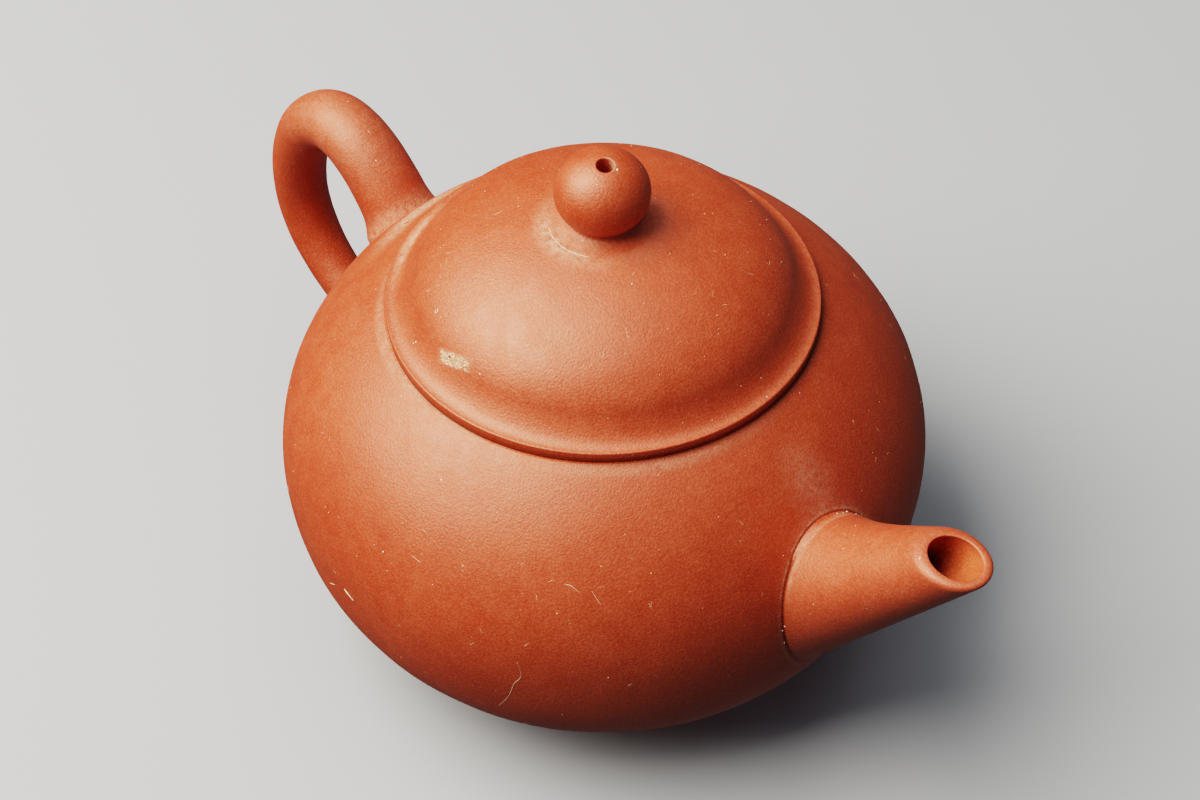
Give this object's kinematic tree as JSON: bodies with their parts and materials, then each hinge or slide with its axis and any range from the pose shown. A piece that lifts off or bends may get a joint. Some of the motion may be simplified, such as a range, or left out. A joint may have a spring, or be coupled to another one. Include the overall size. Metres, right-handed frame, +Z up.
{
  "type": "teapot",
  "caption": "Small unglazed red clay teapot with a loop handle opposite its spout, a round strainer and a loose domed lid with a pierced knob.",
  "frame": {"origin": "on the pot's axis, in the plane that its foot stands on", "axes": "+Z up along the pot's axis, +X towards the spout, -X towards the handle"},
  "size_m": [0.1203, 0.078, 0.0705],
  "materials": {
    "burnished_clay": "unglazed red stoneware, burnished to a soft satin",
    "scraped_clay": "unglazed red stoneware, scraped and left matt"
  },
  "bodies": {
    "pot": {"body_wall": "burnished_clay", "base_disc": "scraped_clay", "foot_ring": "burnished_clay", "mouth_ring": "burnished_clay", "strainer": "scraped_clay", "spout": "burnished_clay", "handle": "burnished_clay"},
    "lid": {"lid_dome": "burnished_clay", "lid_flange": "scraped_clay", "knob": "burnished_clay"}
  },
  "joints": [
    {"name": "lid_lift", "type": "slide", "parent": "pot", "child": "lid", "axis": [0, 0, 1], "range_m": [0, 0.06]}
  ]
}
